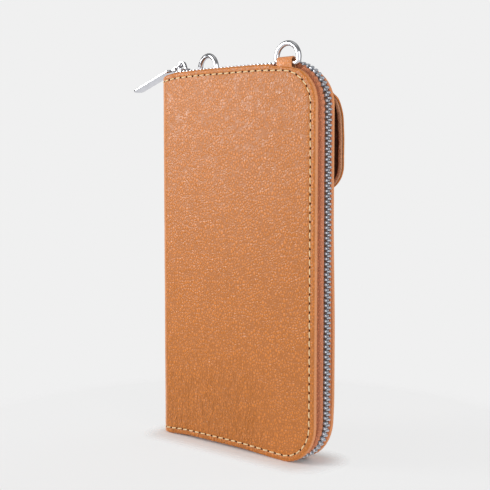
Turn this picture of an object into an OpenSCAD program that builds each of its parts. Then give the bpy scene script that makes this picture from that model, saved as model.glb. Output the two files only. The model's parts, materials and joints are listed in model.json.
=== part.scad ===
// Zip-around phone wallet standing upright on its bottom edge, in millimetres.
// X runs from the spine to the zip, Y from the front cover to the back, Z up.
// The origin is on the ground, midway between the spine and the cover edge.

/* [Covers] */
// Width of a closed cover, from the outside of the spine to the zip edge
cover_w = 107; // [105:1:112]
// Height of the covers
cover_h = 195; // [190:1:200]
// Thickness across both closed covers
body_t = 15.8; // [15.6:0.1:16.4]
// Radius of the two corners on the zip side
corner_r = 20; // [18:1:22]
// Thickness of the outer hide
hide_t = 1.3; // [1.2:0.05:1.4]
// Thickness of the stiffening board
board_t = 0.6; // [0.5:0.05:0.6]
// Thickness of the lining
lining_t = 0.6; // [0.5:0.05:0.6]
// Width of the turned edge of the hide
rim = 2.2; // [2:0.1:2.6]

/* [Zip] */
// Height of the zip bands above the cover edge at the ridge
band_rise = 1.6; // [1.4:0.1:1.8]
// Half of the gap between the two bands
band_gap = 2.8; // [2.7:0.1:2.9]
// Distance between teeth of one row
tooth_pitch = 2.5; // [2.4:0.1:3]
// Length of a tooth along the row
tooth_l = 1.25; // [1:0.05:1.4]
// Half of the gap between the two rows
tooth_gap = 0.25; // [0.24:0.01:0.3]
// Height of the tooth tips above the zip line
tooth_top = 2.5; // [2.4:0.1:2.5]
// Position of the closed slider along the top edge
slider_x = -42.5; // [-43:0.5:-42]
// Length of the slider
slider_l = 9.5; // [9:0.5:10]
// Width of the slider
slider_w = 6.4; // [6:0.1:6.6]

/* [Pull] */
// Angle of the resting pull below the horizontal
pull_drop = 19.5; // [18:0.5:19.5]
// Length of the link between slider and blade
link_l = 5; // [5:0.5:6]
// Length of the blade from its pin
blade_l = 33; // [30:1:36]
// Width of the blade
blade_w = 7; // [6:0.5:7]
// Thickness of the blade
blade_t = 1; // [0.8:0.1:1]

/* [Rings] */
// Diameter of the ring wire
wire_d = 2.6; // [2.4:0.1:2.6]
// Outer width of a ring
ring_w = 16.2; // [16:0.1:17]
// Outer height of a ring
ring_h = 11.7; // [11.5:0.1:12]
// Width of a ring tab
tab_w = 9.2; // [9:0.1:9.4]
// Position of the front ring tab along the top edge
front_ring_x = 33.8; // [33:0.1:35]
// Position of the back ring tab along the top edge
back_ring_x = -29; // [-30:0.1:-28]
// Lean of the front ring towards the zip side
front_ring_lean = 6; // [0:1:6]
// Distance that the front ring is slid along its bar towards the zip side
front_ring_slide = 0.5; // [0:0.1:0.5]
// Turn of the back ring in its tab
back_ring_turn = 8; // [0:1:8]

/* [Phone pocket and flap] */
// Inner depth of the phone pocket
pocket_d = 5.2; // [4.8:0.1:5.4]
// Height of the mouth of the phone pocket
pocket_top = 165; // [160:1:168]
// Width of the phone pocket
pocket_w = 88; // [85:1:90]
// Reach of the flap behind the back cover
flap_d = 9.6; // [9.4:0.1:9.8]
// Height of the lower edge of the flap
flap_low = 133; // [130:1:136]
// Thickness of the flap
flap_t = 1.6; // [1.4:0.1:1.7]

/* [Inside] */
// Number of card slots in each of the two banks
slots_per_bank = 4; // [2:1:4]
// Thickness of one card slot panel
slot_t = 0.5; // [0.4:0.05:0.5]
// Step between neighbouring card slots
slot_step = 9; // [7:1:9]
// Width of the card slots
slot_w = 91; // [89:1:92]
// Height of the coin pocket zip above the ground
coin_z = 166; // [164:1:168]
// Length of the coin pocket zip
coin_l = 82; // [78:1:84]

/* [Hidden] */
$fn = 96;

half_t = body_t / 2;
cover_t = hide_t + board_t + lining_t;
inner_y = half_t - cover_t;
right = cover_w / 2;
fold_x = -right + half_t;

// Line that the zip follows: lower at the top edge and higher at the bottom edge than the covers
zip_top = cover_h - 1;
zip_low = tooth_top + 0.1;
zip_start = fold_x + 0.6;
corner_x = right - corner_r;
tape_n = [0.35, 0.95];
tape_y = 0.6;
tooth_y = 1.9;
band_foot = [-2.4, -0.6];
stop_l = 1;
first_tooth = zip_start + 2.4;

// Slider: plates above and below the chain, joined by a thin post, and the arch of the pull
slider_tail = slider_l / 2 - 1.5;
slider_plate = [tooth_top + 0.15, tooth_top + 1.15];
slider_under = [-1.6, -0.6];
post_w = 0.4;
arch_w = 1.8;
arch_r = 1.7;
pin_r = 0.8;
pin_clear = 0.05;
pull_z = zip_top + 5.6;
arm_w = 0.7;
arm_gap = 0.1;
arm_h = 1.2;

// D-rings
wire_r = wire_d / 2;
ring_r = ring_w / 2 - wire_r;
bend_r = 1.4;
ring_leg = ring_h - wire_d - ring_r;
front_ring_y = inner_y;
back_ring_y = inner_y + 0.7;
front_bar_z = cover_h + 0.5;
back_bar_z = cover_h - 0.1;
tab_wall = 0.7;
tail_l = 7;
tail_t = 1;
room = 0.1;
ring_room_x = 4 * room + front_ring_slide;
ring_dip = 0.9;
front_slot = [1.4, 1.95];
back_slot = [2.05, 1.4];

// Phone pocket and flap
pocket_wall = 1.2;
pocket_x = 4;
pocket_low = 7;
pocket_r = 8;
pocket_out = half_t + pocket_d + pocket_wall;
flap_r = 37.8;
flap_out = half_t + flap_d;
flap_arc_z = 158;
flap_fold = 38.2;
flap_fold_y = flap_out - flap_r + flap_r * cos(flap_fold);
flap_w = [-44, 52];
flap_corner_r = 13;
flap_skin = 1;
root_t = 0.8;
root_z = [182, 191];
snap_z = 147;

// Inside panels
slip_t = 0.4;
slip_y = inner_y - slip_t;
slip_z = [10, 186];
bank_low = [11, 101];
first_slot_h = 82;
coin_y = [3.4, 4];
bag_y = [4, inner_y];
bag_wall = 0.2;
window_h = 8;
coin_w = 92;
coin_low = 12;
coin_high = 184;
coin_slot = 0.3;
coin_slider_x = -32;
coin_pin_r = 0.7;
coin_pin_z = -3.2;

HIDE = "#B9773F";
BAND = "#A5683F";
CLOTH = "#8A6A4C";
BOARD = "#CFC6B4";
METAL = "#C9CBCE";

// ---- Shapes shared by several pieces ----

// Turns a drawing in X and Z into a slab between two depths
module slab(y0, y1) {
    translate([0, y1, 0]) rotate([90, 0, 0]) linear_extrude(y1 - y0) children();
}

// Rectangle with two rounded corners on the right
module round_right(left, edge, low, high, r) {
    translate([left, low]) square([edge - r - left, high - low]);
    translate([left, low + r]) square([edge - left, high - low - 2 * r]);
    translate([edge - r, low + r]) circle(r);
    translate([edge - r, high - r]) circle(r);
}

// Rectangle with two rounded corners at the bottom
module round_bottom(left, edge, low, high, r) {
    translate([left, low + r]) square([edge - left, high - low - r]);
    translate([left + r, low]) square([edge - left - 2 * r, high - low]);
    translate([left + r, low + r]) circle(r);
    translate([edge - r, low + r]) circle(r);
}

module cover_outline(left, inset) {
    round_right(left, right - inset, inset, cover_h - inset, corner_r - inset);
}

// Sweeps a profile of height above the zip line and depth round the three open edges
module around(left) {
    corner_zs = [zip_top - corner_r, zip_low + corner_r];
    translate([corner_x, 0, zip_top]) rotate([0, -90, 0]) linear_extrude(corner_x - left) children();
    translate([right, 0, corner_zs[1]]) linear_extrude(corner_zs[0] - corner_zs[1]) children();
    translate([left, 0, zip_low]) rotate([0, 90, 0]) linear_extrude(corner_x - left) children();
    for (k = [0, 1])
        translate([corner_x, 0, corner_zs[k]])
            rotate([-90, 0, 0])
                rotate([0, 0, -90 * (1 - k)])
                    rotate_extrude(angle = 90)
                        translate([corner_r, 0]) children();
}

// Stadium-shaped bar along X, given by its half depth and half height
module stadium_x(l, half_y, half_z) {
    r = min(half_y, half_z);
    dy = half_y - r;
    dz = half_z - r;
    for (k = [-1, 1])
        translate([0, k * dy, k * dz]) rotate([0, 90, 0]) cylinder(h = l, r = r, center = true);
    cube([l, 2 * (dy > 0 ? dy : r), 2 * (dz > 0 ? dz : r)], center = true);
}

module front() {
    mirror([0, 1, 0]) children();
}

// ---- Cover pieces, drawn for the back and mirrored for the front ----

module cover_shape() {
    difference() {
        slab(inner_y, half_t) cover_outline(fold_x, 0);
        slab(inner_y - 1, half_t - hide_t) cover_outline(fold_x - 1, rim);
    }
}

module board_shape() {
    slab(inner_y + lining_t, half_t - hide_t) cover_outline(fold_x, rim);
}

module lining_shape() {
    slab(inner_y, inner_y + lining_t) cover_outline(fold_x, rim);
}

module band_shape() {
    around(zip_start)
        polygon([
            [band_foot[1], inner_y],
            [band_rise, band_gap],
            [band_rise - 1.7, band_gap],
            [band_foot[0], inner_y]
        ]);
}

module tape_shape() {
    around(zip_start) translate([tape_n[0], tape_y]) square([tape_n[1] - tape_n[0], band_gap - tape_y]);
}

module tooth() {
    translate([tape_n[1], tooth_gap, -tooth_l / 2])
        cube([tooth_top - tape_n[1], tooth_y - tooth_gap, tooth_l]);
}

module teeth_shape() {
    run = corner_x - first_tooth;
    side = zip_top - zip_low - 2 * corner_r;
    run_count = floor(run / tooth_pitch);
    side_count = round(side / tooth_pitch);
    turn_count = round(corner_r * PI / 2 / tooth_pitch);
    for (i = [0 : run_count - 1]) {
        x = corner_x - (i + 0.5) * tooth_pitch;
        translate([x, 0, zip_top]) rotate([0, -90, 0]) tooth();
        translate([x, 0, zip_low]) rotate([0, 90, 0]) tooth();
    }
    for (i = [0 : side_count - 1])
        translate([right, 0, zip_low + corner_r + (i + 0.5) * side / side_count]) tooth();
    for (i = [0 : turn_count - 1]) {
        turn = (i + 0.5) * 90 / turn_count;
        for (k = [0, 1])
            translate([corner_x, 0, k == 0 ? zip_top - corner_r : zip_low + corner_r])
                rotate([0, k == 0 ? -turn : turn, 0])
                    translate([corner_r, 0, 0]) tooth();
    }
}

module stops_shape() {
    for (low = [zip_low - tooth_top + 0.2, zip_top + tape_n[1]])
        translate([zip_start, tooth_gap, low])
            cube([stop_l, tooth_y - tooth_gap, tooth_top - tape_n[1] - 0.2]);
}

// ---- Ring and tab ----

module ring_shape() {
    rotate([0, 90, 0]) cylinder(h = 2 * (ring_r - bend_r), r = wire_r, center = true);
    for (side = [-1, 1]) {
        translate([side * (ring_r - bend_r), 0, bend_r])
            rotate([90, 0, 0])
                rotate([0, 0, side > 0 ? -90 : 180])
                    rotate_extrude(angle = 90) translate([bend_r, 0]) circle(wire_r);
        translate([side * ring_r, 0, bend_r]) cylinder(h = ring_leg - bend_r, r = wire_r);
    }
    translate([0, 0, ring_leg])
        rotate([90, 0, 0]) rotate_extrude(angle = 180) translate([ring_r, 0]) circle(wire_r);
}

// Leather loop round the bar, with a tail sewn inside the cover edge
module tab_shape(hole, ring_y) {
    difference() {
        union() {
            stadium_x(tab_w, hole[0] + tab_wall, hole[1] + tab_wall);
            tab_tail(0, ring_y);
        }
        stadium_x(tab_w + 1, hole[0], hole[1]);
    }
}

module tab_tail(grow, ring_y) {
    translate([-tab_w / 2 - grow, inner_y - tail_t - ring_y - grow, -tail_l - grow])
        cube([tab_w + 2 * grow, tail_t + grow, tail_l + grow]);
}

// Room that a tab and its ring take in the cover edge and in the zip band behind it
module tab_room(hole, ring_y, ring_turn) {
    ring_half_y = wire_r + ring_r * sin(ring_turn) + 5 * room;
    translate([-ring_w / 2 - ring_room_x, -ring_half_y, -wire_r - ring_r * sin(front_ring_lean)])
        cube([ring_w + 2 * ring_room_x, 2 * ring_half_y, ring_h]);
    half_y = hole[0] + tab_wall + room;
    translate([-tab_w / 2 - room, -half_y, -hole[1] - tab_wall - room])
        cube([tab_w + 2 * room, 2 * half_y, ring_h]);
    tab_tail(room, ring_y);
}

module at_front_tab() {
    translate([front_ring_x, front_ring_y, front_bar_z]) children();
}

module at_back_tab() {
    translate([back_ring_x, back_ring_y, back_bar_z]) children();
}

// ---- Back half ----

module back_cover() {
    color(HIDE) difference() {
        cover_shape();
        at_back_tab() tab_room(back_slot, back_ring_y, back_ring_turn);
    }
}

module back_board() {
    color(BOARD) board_shape();
}

module back_lining() {
    color(CLOTH) lining_shape();
}

module back_zip_band() {
    color(BAND) difference() {
        band_shape();
        at_back_tab() tab_room(back_slot, back_ring_y, back_ring_turn);
    }
}

module back_zip_tape() {
    color(CLOTH) tape_shape();
}

module back_zip_teeth() {
    color(METAL) teeth_shape();
}

module back_zip_stops() {
    color(METAL) stops_shape();
}

module back_ring_tab() {
    color(HIDE) at_back_tab() tab_shape(back_slot, back_ring_y);
}

module back_ring() {
    color(METAL) at_back_tab() rotate([0, 0, -back_ring_turn]) ring_shape();
}

// ---- Front half ----

module front_cover() {
    color(HIDE) front() difference() {
        cover_shape();
        at_front_tab() tab_room(front_slot, front_ring_y, 0);
        slab(inner_y, half_t + 1)
            translate([front_ring_x - ring_w / 2 - ring_room_x, cover_h - ring_dip])
                square([ring_w + 2 * ring_room_x, 1]);
    }
}

module front_board() {
    color(BOARD) front() board_shape();
}

module front_lining() {
    color(CLOTH) front() lining_shape();
}

module front_zip_band() {
    color(BAND) front() difference() {
        band_shape();
        at_front_tab() tab_room(front_slot, front_ring_y, 0);
    }
}

module front_zip_tape() {
    color(CLOTH) front() tape_shape();
}

module front_zip_teeth() {
    color(METAL) front() teeth_shape();
}

module front_zip_stops() {
    color(METAL) front() stops_shape();
}

module front_ring_tab() {
    color(HIDE) front() at_front_tab() tab_shape(front_slot, front_ring_y);
}

module front_ring() {
    color(METAL) front() at_front_tab()
        rotate([0, front_ring_lean, 0]) translate([front_ring_slide, 0, 0]) ring_shape();
}

// ---- Spine ----

module spine_shell(outer, inner) {
    translate([fold_x, 0, 0])
        rotate([0, 0, 90])
            rotate_extrude(angle = 180) translate([inner, 0]) square([outer - inner, cover_h]);
}

module spine_cover() {
    color(HIDE) spine_shell(half_t, half_t - hide_t);
}

module spine_lining() {
    color(CLOTH) spine_shell(half_t - hide_t, half_t - hide_t - lining_t);
}

// ---- Zip slider and pull ----

module slider_block(x0, x1, half_y, n) {
    translate([x0, -half_y, zip_top + n[0]]) cube([x1 - x0, 2 * half_y, n[1] - n[0]]);
}

module zip_slider() {
    nose = slider_w / 2;
    color(METAL) translate([slider_x, 0, 0]) {
        difference() {
            union() {
                slider_block(-slider_tail, slider_l / 2 - nose, slider_w / 2, slider_plate);
                translate([slider_l / 2 - nose, 0, zip_top + slider_plate[0]])
                    cylinder(h = slider_plate[1] - slider_plate[0], r = nose);
                slider_block(-arch_r, arch_r, arch_w / 2, [slider_plate[1], pull_z - zip_top]);
                translate([0, 0, pull_z]) pin_y(arch_w, arch_r);
            }
            translate([0, 0, pull_z]) pin_y(2 * arch_w, pin_r + pin_clear);
        }
        slider_block(-slider_tail, 0, post_w / 2, [slider_under[1], slider_plate[0]]);
        slider_block(-slider_tail, slider_l / 2 - 0.5, 2.2, slider_under);
    }
}

// Puts a piece drawn along -X from a pin at the origin on the resting line of the pull
module on_pull_line(distance) {
    translate([slider_x, 0, pull_z]) rotate([0, -pull_drop, 0]) translate([-distance, 0, 0]) children();
}

module pin_y(l, r) {
    translate([0, l / 2, 0]) rotate([90, 0, 0]) cylinder(h = l, r = r);
}

module pull_link() {
    arm_y = arch_w / 2 + arm_gap;
    color(METAL) on_pull_line(0) {
        for (k = [-1, 1])
            translate([0, k * (arm_y + arm_w / 2), 0]) {
                pin_y(arm_w, arch_r - 0.3);
                translate([-link_l, 0, 0]) pin_y(arm_w, arch_r - 0.3);
                translate([-link_l, -arm_w / 2, -arm_h / 2]) cube([link_l, arm_w, arm_h]);
            }
        pin_y(2 * arm_y + arm_w, pin_r);
        translate([-link_l, 0, 0]) pin_y(2 * arm_y + arm_w, pin_r);
    }
}

module pull_blade() {
    neck = 3.4;
    end_r = 2.5;
    color(METAL) on_pull_line(link_l) difference() {
        union() {
            pin_y(arch_w, arch_r - 0.3);
            translate([-neck - 0.5, -arch_w / 2, -blade_t / 2]) cube([neck + 0.5, arch_w, blade_t]);
            translate([0, 0, -blade_t / 2]) linear_extrude(blade_t) {
                translate([-blade_l + end_r, -blade_w / 2]) square([blade_l - neck - end_r, blade_w]);
                translate([-blade_l, -blade_w / 2 + end_r]) square([blade_l - neck, blade_w - 2 * end_r]);
                for (k = [-1, 1])
                    translate([-blade_l + end_r, k * (blade_w / 2 - end_r)]) circle(end_r);
            }
        }
        pin_y(2 * arch_w, pin_r + pin_clear);
    }
}

// ---- Phone pocket and flap on the back ----

module pocket_outline(inset) {
    side = pocket_w / 2 - inset;
    round_bottom(pocket_x - side, pocket_x + side, pocket_low + inset, pocket_top, pocket_r - inset);
}

module pocket_panel() {
    color(HIDE) slab(pocket_out - pocket_wall, pocket_out) pocket_outline(0);
}

module pocket_gusset() {
    color(BAND) difference() {
        slab(half_t, pocket_out - pocket_wall) pocket_outline(0);
        slab(half_t - 1, pocket_out) translate([0, 0.01]) pocket_outline(pocket_wall);
    }
}

// Part of the flap's round shoulder between two depths under its outer face
module shoulder(from, to) {
    translate([flap_out - flap_r, flap_arc_z]) difference() {
        circle(flap_r - from);
        circle(flap_r - to);
    }
}

// Turns a drawing in Y and Z into a slab as wide as the flap
module flap_slab() {
    translate([flap_w[0], 0, 0]) rotate([90, 0, 90]) linear_extrude(flap_w[1] - flap_w[0]) children();
}

// One layer of the moving flap: the shoulder beyond the fold, and the flat part below it
module flap_layer(from, to) {
    intersection() {
        flap_slab() {
            intersection() {
                shoulder(from, to);
                translate([flap_fold_y, flap_arc_z]) square(2 * flap_r);
            }
            translate([flap_out - to, flap_low - 1]) square([to - from, flap_arc_z - flap_low + 1]);
        }
        slab(half_t, flap_out + 1)
            round_bottom(flap_w[0], flap_w[1], flap_low, flap_arc_z + flap_r, flap_corner_r);
    }
}

module flap_leather() {
    color(HIDE) flap_layer(0, flap_skin);
}

module flap_lining() {
    color(CLOTH) flap_layer(flap_skin, flap_t);
}

// End of the flap that is sewn to the back cover, inside its rounded corner
module flap_root() {
    color(HIDE) intersection() {
        flap_slab() {
            intersection() {
                shoulder(0, flap_skin);
                translate([half_t, flap_arc_z]) square([flap_fold_y - half_t, flap_r]);
            }
            translate([half_t, root_z[0]]) square([root_t, root_z[1] - root_z[0]]);
        }
        slab(half_t, flap_out) cover_outline(flap_w[0], 0.5);
    }
}

module disc_y(y0, y1, r) {
    translate([0, y1, snap_z]) rotate([90, 0, 0]) cylinder(h = y1 - y0, r = r);
}

module snap_cap() {
    color(METAL) {
        disc_y(flap_out, flap_out + 0.7, 6);
        disc_y(flap_out + 0.7, flap_out + 1.1, 4.6);
    }
}

module snap_socket() {
    inner = flap_out - flap_t;
    color(METAL) difference() {
        disc_y(inner - 0.8, inner, 5.2);
        disc_y(inner - 1.8, inner + 1, 2.1);
    }
}

module snap_stud() {
    inner = flap_out - flap_t;
    color(METAL) {
        disc_y(pocket_out, inner - 0.9, 5);
        disc_y(inner - 0.9, inner - 0.1, 1.8);
    }
}

// ---- Card slots in the front half ----

module slip_pocket() {
    color(CLOTH) front() slab(slip_y, inner_y)
        translate([-slot_w / 2 + 0.5, slip_z[0]]) square([slot_w - 1, slip_z[1] - slip_z[0]]);
}

module card_slot(number) {
    bank = floor((number - 1) / slots_per_bank);
    layer = (number - 1) % slots_per_bank;
    outer = slip_y - layer * slot_t;
    color(HIDE) front() slab(outer - slot_t, outer)
        translate([-slot_w / 2 + 1, bank_low[bank]]) square([slot_w - 2, first_slot_h - layer * slot_step]);
}

// ---- Coin pocket in the back half ----

module coin_window() {
    translate([-coin_l / 2, coin_z - window_h / 2]) square([coin_l, window_h]);
}

module coin_pocket_panel() {
    color(HIDE) difference() {
        slab(coin_y[0], coin_y[1])
            translate([-coin_w / 2, coin_low]) square([coin_w, coin_high - coin_low]);
        slab(coin_y[0] - 1, coin_y[1] + 1) coin_window();
    }
}

module coin_pocket_bag() {
    color(CLOTH) difference() {
        slab(bag_y[0], bag_y[1])
            translate([-coin_w / 2 + 1, coin_low + 50]) square([coin_w - 2, coin_high - coin_low - 51]);
        slab(bag_y[0] + bag_wall, bag_y[1] - bag_wall)
            translate([-coin_w / 2 + 3, coin_low + 52]) square([coin_w - 6, coin_high - coin_low - 55]);
        slab(bag_y[0] - 1, bag_y[0] + bag_wall + 0.1) coin_window();
    }
}

module coin_zip_tape() {
    color(CLOTH) difference() {
        slab(coin_y[0] + 0.1, coin_y[1]) coin_window();
        slab(coin_y[0] - 1, coin_y[1] + 1)
            translate([-coin_l / 2 + 2, coin_z - 1.5]) square([coin_l - 4, 3]);
    }
}

module coin_zip_teeth() {
    color(METAL)
        for (k = [-1, 1])
            translate([-coin_l / 2 + 3, coin_y[0] - 0.1, coin_z + (k > 0 ? coin_slot : -1.5)])
                cube([coin_l - 6, 0.8, 1.5 - coin_slot]);
}

module coin_zip_stops() {
    color(METAL)
        for (x = [-coin_l / 2 + 2, coin_l / 2 - 3])
            translate([x, coin_y[0] - 0.1, coin_z - 1.5]) cube([1, 0.8, 3]);
}

module coin_zip_slider() {
    plate_y = coin_y[0] - 0.9;
    under_y = coin_y[1] + 0.25;
    color(METAL) translate([coin_slider_x, 0, coin_z]) {
        translate([-3.5, plate_y, -2.4]) cube([7, 0.7, 4.8]);
        translate([-3.5, under_y, -2]) cube([7, 0.6, 4]);
        translate([-3, plate_y, -post_w / 2]) cube([2.5, under_y - plate_y + 0.1, post_w]);
        translate([-coin_pin_r, plate_y, coin_pin_z]) cube([2 * coin_pin_r, 0.7, -coin_pin_z]);
        translate([0, plate_y + 0.1, coin_pin_z]) rotate([90, 0, 0]) cylinder(h = 0.8, r = coin_pin_r);
    }
}

module coin_zip_pull() {
    end_r = 2;
    pull_l = 11;
    color(METAL) translate([coin_slider_x, coin_y[0] - 1, coin_z + coin_pin_z]) rotate([90, 0, 0])
        linear_extrude(0.6) difference() {
            union() {
                circle(end_r);
                translate([-end_r, -pull_l]) square([2 * end_r, pull_l]);
                translate([0, -pull_l]) circle(end_r);
            }
            circle(coin_pin_r + pin_clear);
        }
}

back_cover();
back_board();
back_lining();
back_zip_band();
back_zip_tape();
back_zip_teeth();
back_zip_stops();
front_cover();
front_board();
front_lining();
front_zip_band();
front_zip_tape();
front_zip_teeth();
front_zip_stops();
spine_cover();
spine_lining();
zip_slider();
pull_link();
pull_blade();
front_ring_tab();
front_ring();
back_ring_tab();
back_ring();
pocket_panel();
pocket_gusset();
flap_root();
flap_leather();
flap_lining();
snap_cap();
snap_socket();
snap_stud();
slip_pocket();
card_slot(1);  // card_slot_1
card_slot(2);  // card_slot_2
card_slot(3);  // card_slot_3
card_slot(4);  // card_slot_4
card_slot(5);  // card_slot_5
card_slot(6);  // card_slot_6
card_slot(7);  // card_slot_7
card_slot(8);  // card_slot_8
coin_pocket_panel();
coin_pocket_bag();
coin_zip_tape();
coin_zip_teeth();
coin_zip_stops();
coin_zip_slider();
coin_zip_pull();
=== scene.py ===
"""Looks of the zip around wallet: leather, thread, zip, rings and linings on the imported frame.

Helpers work in millimetres in the row's frame, and add_piece turns them into metres.
"""

import json
from math import atan2, cos, degrees, floor, hypot, pi, radians, sin, sqrt

import bmesh
import bpy
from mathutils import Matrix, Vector, noise


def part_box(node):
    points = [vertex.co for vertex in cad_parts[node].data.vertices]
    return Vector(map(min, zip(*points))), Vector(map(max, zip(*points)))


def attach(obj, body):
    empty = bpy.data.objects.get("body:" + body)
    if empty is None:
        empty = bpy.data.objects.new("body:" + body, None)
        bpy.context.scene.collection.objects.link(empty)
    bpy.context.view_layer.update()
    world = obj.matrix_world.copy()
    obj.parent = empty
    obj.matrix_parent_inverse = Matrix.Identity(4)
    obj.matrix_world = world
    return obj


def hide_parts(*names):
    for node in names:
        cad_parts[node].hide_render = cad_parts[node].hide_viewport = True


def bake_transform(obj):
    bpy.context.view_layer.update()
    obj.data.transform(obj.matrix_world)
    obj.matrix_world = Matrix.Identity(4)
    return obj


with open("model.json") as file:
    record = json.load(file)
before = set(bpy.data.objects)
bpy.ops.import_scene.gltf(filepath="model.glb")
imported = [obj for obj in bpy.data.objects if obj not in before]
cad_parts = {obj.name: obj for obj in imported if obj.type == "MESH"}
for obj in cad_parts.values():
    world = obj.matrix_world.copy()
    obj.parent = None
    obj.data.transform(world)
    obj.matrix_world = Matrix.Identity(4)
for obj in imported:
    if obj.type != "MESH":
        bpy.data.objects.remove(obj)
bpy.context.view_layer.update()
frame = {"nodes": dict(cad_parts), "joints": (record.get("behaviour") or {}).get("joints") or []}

MM = 0.001
WELD = 0.003
SHARP = radians(42)


def box_mm(*names):
    """Lowest and highest corner of one or several CAD nodes, in millimetres."""
    boxes = [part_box(name) for name in names]
    low = Vector([min(b[0][k] for b in boxes) for k in range(3)]) / MM
    high = Vector([max(b[1][k] for b in boxes) for k in range(3)]) / MM
    return low, high


def joint(name):
    """Record of a joint."""
    return next(j for j in frame["joints"] if j["name"] == name)


def joint_place(name):
    """Place of a hinge, in millimetres."""
    return Vector(joint(name)["pos_m"]) / MM


# ---- Sizes, in millimetres ----

cover_low, cover_high = box_mm("front_cover")
teeth_low, teeth_high = box_mm("front_zip_teeth")

FOLD = cover_low.x
RIGHT = cover_high.x
HEIGHT = cover_high.z
HALF = -cover_low.y
INNER = -cover_high.y
CORNER = 20.0
APEX = -HALF * pi / 2
RIM = 2.2
EDGE_FADE = 20.0
LINING_INSET = 1.4

TOOTH_TOP = 2.5
ZIP_TOP = teeth_high.z - TOOTH_TOP
ZIP_LOW = teeth_low.z + TOOTH_TOP
ZIP_START = box_mm("front_zip_band")[0].x
TOOTH_PITCH = 2.5

STITCH_PITCH = 4.3
STITCH_SHARE = 0.66
STITCH_INSET = 3.1
THREAD_R = 0.34
HOLE_R = 0.6
FINE_STITCH = {"pitch": 3.4, "radius": 0.22}
SEAM = 2.6

WIRE = 1.3
RING_HALF = 6.8
RING_LEG = 2.3
RING_BEND = 1.4
RING_SLIDE = {"front": 0.5, "back": 0.0}
RING_DIP = {-1: 0.9, 1: 2.1}
RING_ROOM = 0.9

SIDES = ((-1, "front", "front_half"), (1, "back", "back_half"))

# ---- Colours, as they are painted before light falls on them ----


def linear(red, green, blue):
    """Linear colour of a display colour in 0 to 255."""
    return tuple(
        (c / 255 / 12.92 if c < 11 else ((c / 255 + 0.055) / 1.055) ** 2.4)
        for c in (red, green, blue)
    )


HIDE = linear(199, 118, 45)
BAND = linear(205, 127, 88)
SLOT = linear(200, 134, 86)
LINING = linear(158, 120, 88)
TAPE = linear(120, 76, 50)
THREAD = linear(232, 204, 158)
BOARD = linear(212, 204, 186)
METAL = linear(226, 227, 230)
FLOOR = linear(240, 240, 240)


def smooth(low, high, x):
    """0 before low, 1 after high, and a soft step between them."""
    t = min(max((x - low) / (high - low), 0), 1)
    return t * t * (3 - 2 * t)


def ripple(x, y, seed=0.0):
    """Soft irregularity between about -1 and 1."""
    return noise.noise(Vector((x, y, seed)))


def circle(count):
    """Cosine and sine of evenly spaced directions."""
    return [(cos(2 * pi * k / count), sin(2 * pi * k / count)) for k in range(count)]


# ---- Materials ----


def wired(tree, kind, inputs, **settings):
    """Adds a node and gives its inputs values, or links where sockets are given."""
    made = tree.nodes.new(kind)
    for key, value in settings.items():
        setattr(made, key, value)
    for key, value in inputs.items():
        if isinstance(value, bpy.types.NodeSocket):
            tree.links.new(value, made.inputs[key])
        else:
            made.inputs[key].default_value = value
    return made


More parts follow.
